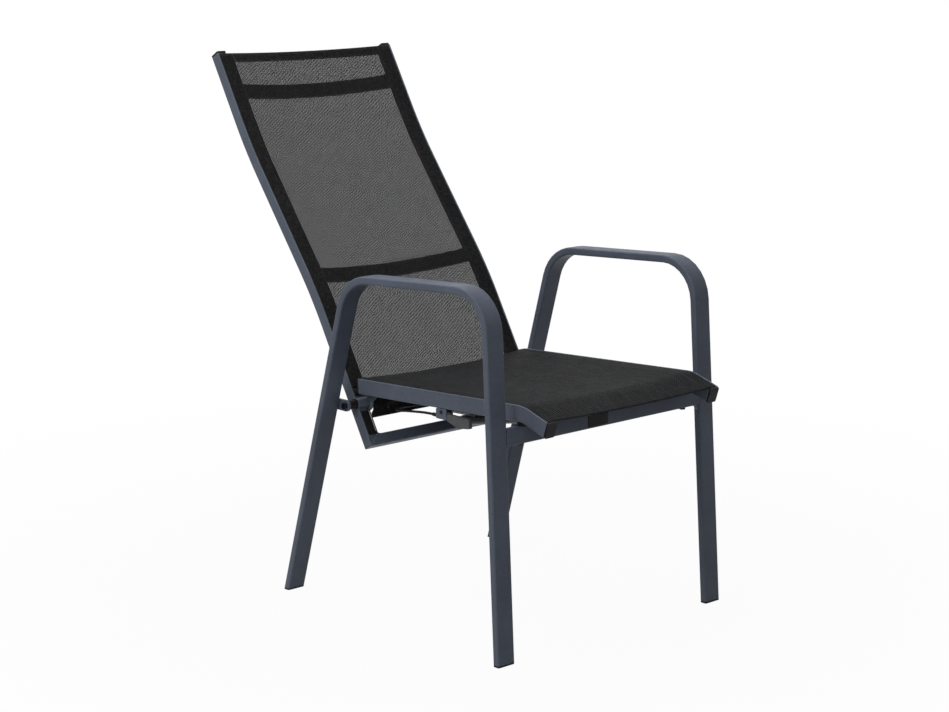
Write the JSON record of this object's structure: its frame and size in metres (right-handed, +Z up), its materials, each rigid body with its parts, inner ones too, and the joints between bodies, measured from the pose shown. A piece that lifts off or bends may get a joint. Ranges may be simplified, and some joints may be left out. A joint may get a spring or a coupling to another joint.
{
  "type": "reclining sling patio chair",
  "caption": "Reclining outdoor armchair with a black mesh sling seat and high back on a dark grey bent flat-tube frame, tilting on a gas spring.",
  "frame": {"origin": "centre of the chair's footprint box on the floor", "axes": "+X to the sitter's left, +Y to the back, +Z up"},
  "size_m": [0.5928, 0.9944, 1.0601],
  "materials": {
    "powder_coat": "fine satin powder coat",
    "black_plastic": "matte",
    "grey_plastic": "matte",
    "bright_steel": "zinc plated",
    "black_steel": "gloss",
    "back_mesh": "open woven mesh",
    "seat_mesh": "ribbed woven mesh",
    "tag_cloth": "blank woven tag"
  },
  "bodies": {
    "base": {"side_frame_right": "powder_coat", "foot_cap_front_right": "black_plastic", "foot_cap_rear_right": "black_plastic", "side_frame_left": "powder_coat", "foot_cap_front_left": "black_plastic", "foot_cap_rear_left": "black_plastic", "seat_rail_cap_front_right": "black_plastic", "seat_rail_cap_rear_right": "black_plastic", "seat_bolt_right": "black_steel", "seat_spacer_right": "black_plastic", "seat_hanger_right": "powder_coat", "seat_welt_right": "seat_mesh", "hinge_bracket_right": "powder_coat", "hinge_spacer_right": "black_plastic", "hinge_bolt_right": "black_steel", "seat_rail_cap_front_left": "black_plastic", "seat_rail_cap_rear_left": "black_plastic", "seat_bolt_left": "black_steel", "seat_spacer_left": "black_plastic", "seat_hanger_left": "powder_coat", "seat_welt_left": "seat_mesh", "hinge_bracket_left": "powder_coat", "hinge_spacer_left": "black_plastic", "hinge_bolt_left": "black_steel", "seat_rail_left": "powder_coat", "front_crossbar": "powder_coat", "seat_stretcher": "powder_coat", "seat_sling": "seat_mesh", "blank_tag": "tag_cloth", "spring_front_bracket": "powder_coat", "spring_front_pin": "bright_steel", "seat_rail_right": "powder_coat", "lever_housing": "powder_coat", "lever_pin": "black_steel", "lever_return_spring": "bright_steel", "cable_ferrule": "black_plastic", "release_cable": "black_plastic"},
    "back": {"hinge_bush_right": "black_plastic", "back_rail_right": "powder_coat", "back_rail_cap_right": "black_plastic", "back_welt_right": "back_mesh", "hinge_bush_left": "black_plastic", "back_rail_left": "powder_coat", "back_rail_cap_left": "black_plastic", "back_welt_left": "back_mesh", "back_hinge_tube": "powder_coat", "back_bottom_bar": "powder_coat", "back_spreader_lumbar": "powder_coat", "back_spreader_upper": "powder_coat", "back_sling": "back_mesh", "spring_rear_bracket": "powder_coat", "spring_rear_pin": "bright_steel"},
    "spring_rod": {"spring_rod": "bright_steel", "release_head": "black_plastic"},
    "spring_cylinder": {"spring_cylinder": "black_steel"},
    "release_lever": {"release_lever": "grey_plastic"},
    "release_arm": {"release_arm": "grey_plastic"}
  },
  "joints": [
    {"name": "back_recline", "type": "hinge", "parent": "base", "child": "back", "pos_m": [0, 0.04124, 0.396], "axis": [1, 0, 0], "range_deg": [-6, 18]},
    {"name": "spring_swing", "type": "hinge", "parent": "base", "child": "spring_rod", "pos_m": [0, -0.38876, 0.412], "axis": [1, 0, 0], "range_deg": [-1.6, 0.6]},
    {"name": "spring_slide", "type": "slide", "parent": "spring_rod", "child": "spring_cylinder", "axis": [0, 0.9809, -0.1944], "range_m": [-0.0076, 0.0225]},
    {"name": "lever_pull", "type": "hinge", "parent": "base", "child": "release_lever", "pos_m": [-0.217, -0.20775, 0.421], "axis": [-1, 0, 0], "range_deg": [0, 8], "stiffness_Nm_per_rad": 0.2, "springref_deg": -11.46},
    {"name": "arm_pull", "type": "hinge", "parent": "spring_rod", "child": "release_arm", "pos_m": [0, -0.37426, 0.4234], "axis": [-1, 0, 0], "range_deg": [0, 5.1]}
  ],
  "couplings": [
    {"joint": "spring_swing", "follows": "back_recline", "ratio": -0.085},
    {"joint": "spring_slide", "follows": "back_recline", "m_per_rad": 0.071},
    {"joint": "arm_pull", "follows": "lever_pull", "ratio": 0.63}
  ]
}
